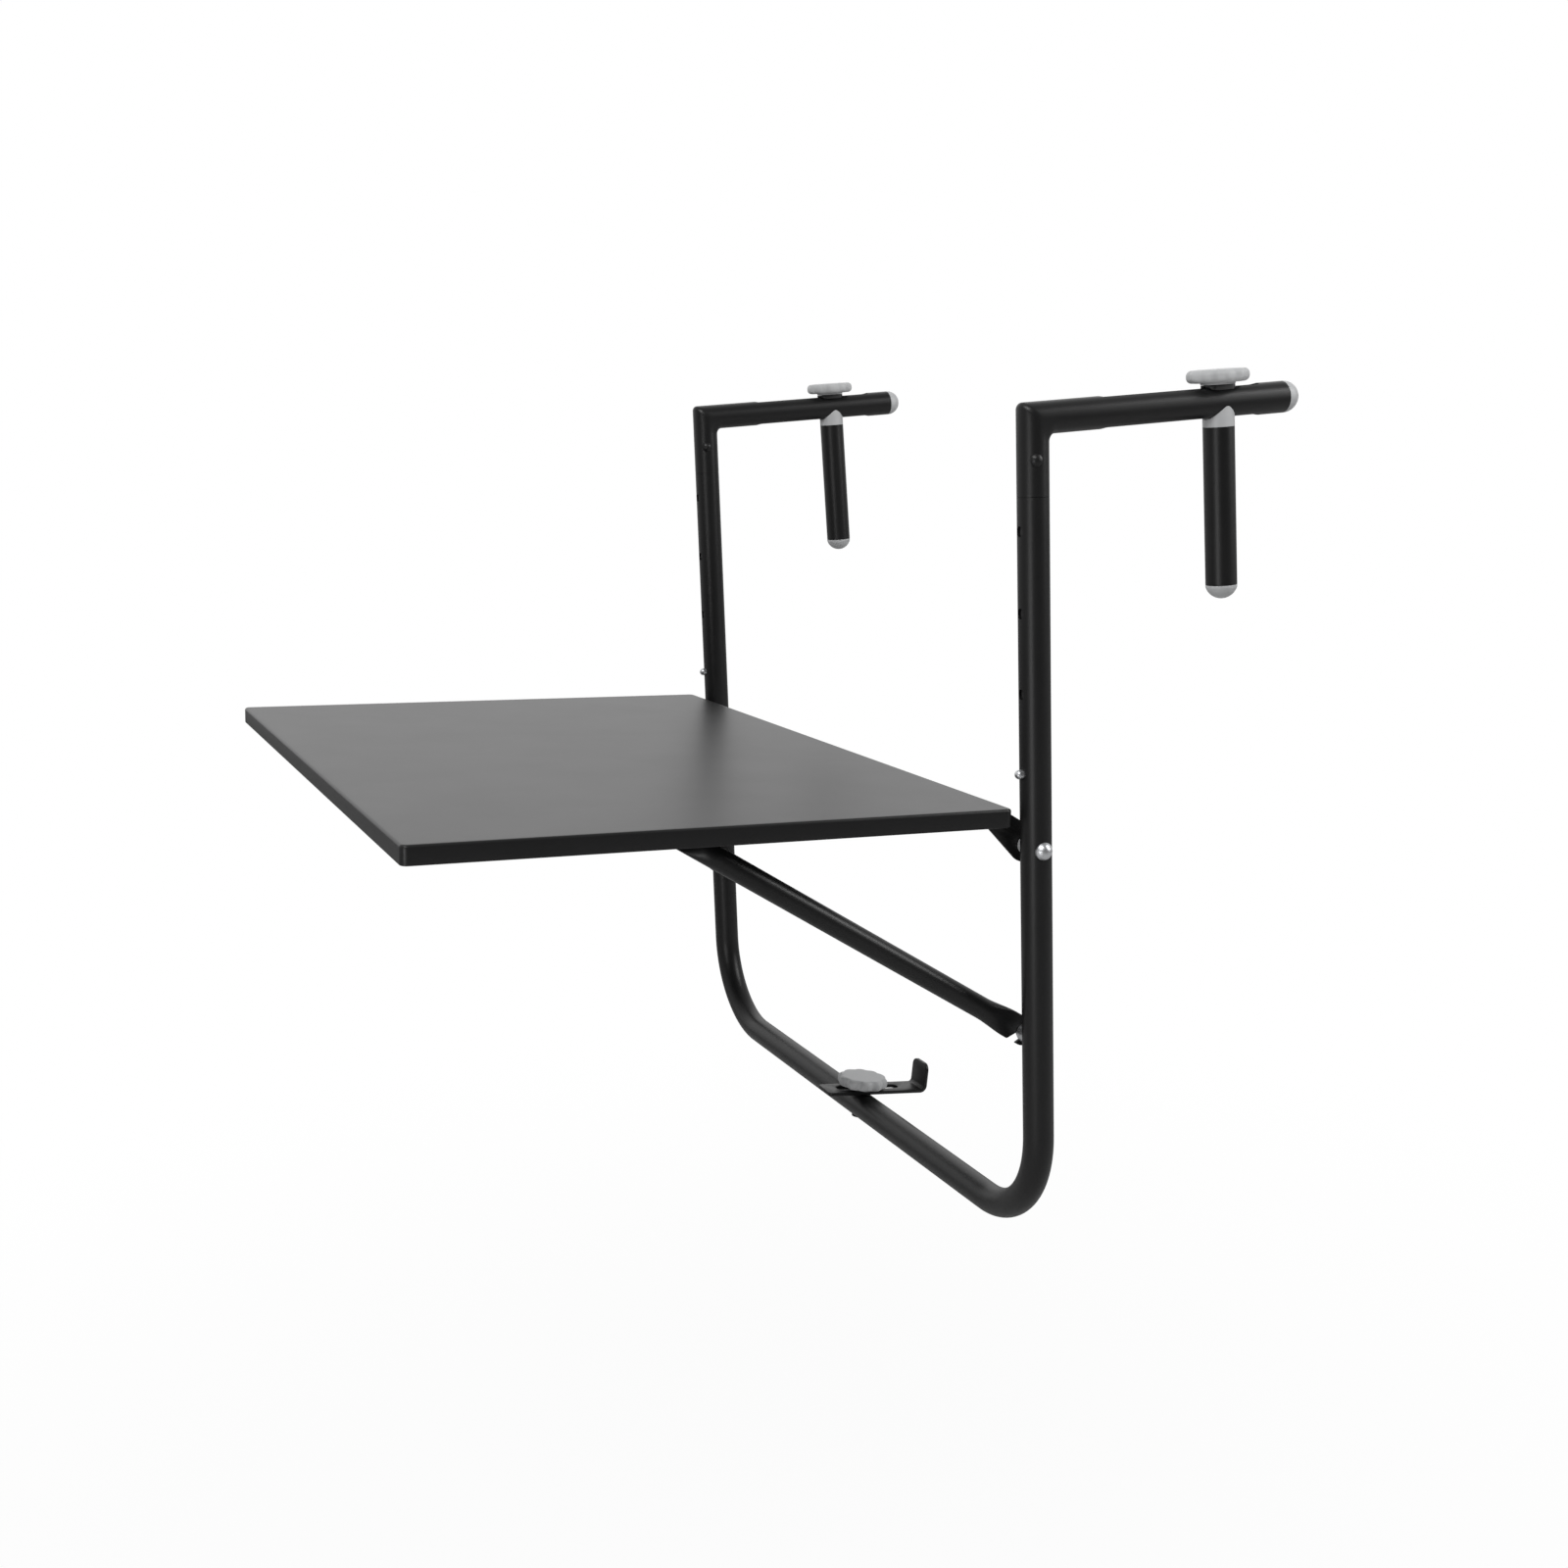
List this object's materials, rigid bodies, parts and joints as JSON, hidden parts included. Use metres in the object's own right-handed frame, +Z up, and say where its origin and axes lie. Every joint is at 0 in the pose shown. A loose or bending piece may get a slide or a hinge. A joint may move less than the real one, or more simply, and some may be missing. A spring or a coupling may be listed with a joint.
{
  "type": "balcony railing bar table",
  "caption": "Folding balcony table: a black steel leaf on a bent tube frame that hangs from a railing by two clamped arms.",
  "frame": {"origin": "midway between the two arms, in the plane of the uprights, on the underside of the arms where they rest on the railing", "axes": "+Z up, +X along the arms over the railing, -X towards the person at the leaf, +Y from the near arm to the far arm"},
  "size_m": [0.656, 0.6264, 0.6193],
  "materials": {
    "black_powder_coat": "satin black powder coat with a fine grain",
    "grey_plastic": "moulded mid-grey plastic, faintly grained, matte",
    "dark_plastic": "moulded black plastic, matte",
    "zinc_steel": "zinc-plated steel, satin",
    "spring_steel": "bare spring steel strip"
  },
  "bodies": {
    "arms": {"arm_near": "black_powder_coat", "arm_far": "black_powder_coat", "arm_cap_near": "grey_plastic", "arm_cap_far": "grey_plastic", "inner_leg_near": "black_powder_coat", "inner_leg_far": "black_powder_coat", "leg_rivets": "black_powder_coat", "button_spring_near": "spring_steel", "button_spring_far": "spring_steel"},
    "frame": {"frame_tube": "black_powder_coat", "leaf_pivots": "zinc_steel", "hinge_washers": "grey_plastic", "stay_studs": "zinc_steel", "bumper_bolt": "black_powder_coat"},
    "near_height_button": {"height_button_near": "zinc_steel"},
    "far_height_button": {"height_button_far": "zinc_steel"},
    "near_collar": {"clamp_collar_near": "dark_plastic"},
    "far_collar": {"clamp_collar_far": "dark_plastic"},
    "near_knob": {"clamp_knob_near": "grey_plastic", "clamp_knob_insert_near": "zinc_steel"},
    "far_knob": {"clamp_knob_far": "grey_plastic", "clamp_knob_insert_far": "zinc_steel"},
    "near_post": {"clamp_bolt_near": "zinc_steel", "clamp_saddle_near": "grey_plastic", "clamp_post_near": "black_powder_coat", "clamp_post_cap_near": "grey_plastic", "clamp_post_pin_near": "black_powder_coat"},
    "far_post": {"clamp_bolt_far": "zinc_steel", "clamp_saddle_far": "grey_plastic", "clamp_post_far": "black_powder_coat", "clamp_post_cap_far": "grey_plastic", "clamp_post_pin_far": "black_powder_coat"},
    "leaf": {"leaf_panel": "black_powder_coat", "stiffener_inner": "black_powder_coat", "stiffener_outer": "black_powder_coat", "hinge_bracket_near": "black_powder_coat", "hinge_bracket_far": "black_powder_coat", "stay_clip_near": "black_powder_coat", "stay_clip_far": "black_powder_coat"},
    "stay": {"stay_tube": "black_powder_coat"},
    "bumper": {"bumper_strip": "black_powder_coat"},
    "bumper_knob": {"bumper_knob": "grey_plastic", "bumper_knob_insert": "zinc_steel"}
  },
  "joints": [
    {"name": "frame_height", "type": "slide", "parent": "arms", "child": "frame", "axis": [0, 0, -1], "range_m": [0, 0.165]},
    {"name": "leaf_fold", "type": "hinge", "parent": "frame", "child": "leaf", "pos_m": [0, 0, -0.28139], "axis": [0, -1, 0], "range_deg": [0, 86]},
    {"name": "stay_fold", "type": "hinge", "parent": "leaf", "child": "stay", "pos_m": [-0.25598, 0, -0.24349], "axis": [0, -1, 0], "range_deg": [0, 27.9]},
    {"name": "bumper_slide", "type": "slide", "parent": "frame", "child": "bumper", "axis": [0.989, 0, -0.1478], "range_m": [-0.03, 0.0195]},
    {"name": "bumper_knob_turn", "type": "hinge", "parent": "frame", "child": "bumper_knob", "pos_m": [0, 0, -0.56799], "axis": [0.1478, 0, 0.989], "range_deg": [0, 360]},
    {"name": "near_height_button_press", "type": "slide", "parent": "frame", "child": "near_height_button", "axis": [1, 0, 0], "range_m": [0, 0.0048], "stiffness_N_per_m": 2000, "springref_m": -0.001},
    {"name": "near_clamp_slide", "type": "slide", "parent": "arms", "child": "near_collar", "axis": [0.9994, 0, 0.0349], "range_m": [-0.088, 0.024]},
    {"name": "near_knob_turn", "type": "hinge", "parent": "near_collar", "child": "near_knob", "pos_m": [0.14891, -0.2925, 0.01621], "axis": [-0.0349, 0, 0.9994], "range_deg": [0, 1080]},
    {"name": "near_post_drop", "type": "slide", "parent": "near_collar", "child": "near_post", "axis": [0.0349, 0, -0.9994], "range_m": [0, 0.00375]},
    {"name": "far_height_button_press", "type": "slide", "parent": "frame", "child": "far_height_button", "axis": [1, 0, 0], "range_m": [0, 0.0048], "stiffness_N_per_m": 2000, "springref_m": -0.001},
    {"name": "far_clamp_slide", "type": "slide", "parent": "arms", "child": "far_collar", "axis": [0.9994, 0, 0.0349], "range_m": [-0.0695, 0.0305]},
    {"name": "far_knob_turn", "type": "hinge", "parent": "far_collar", "child": "far_knob", "pos_m": [0.13042, 0.2925, 0.01556], "axis": [-0.0349, 0, 0.9994], "range_deg": [0, 1080]},
    {"name": "far_post_drop", "type": "slide", "parent": "far_collar", "child": "far_post", "axis": [0.0349, 0, -0.9994], "range_m": [0, 0.00375]}
  ],
  "couplings": [
    {"joint": "stay_fold", "follows": "leaf_fold", "ratio": 0.32442},
    {"joint": "near_knob_turn", "follows": "near_post_drop", "rad_per_m": 5026.5},
    {"joint": "far_knob_turn", "follows": "far_post_drop", "rad_per_m": 5026.5}
  ]
}
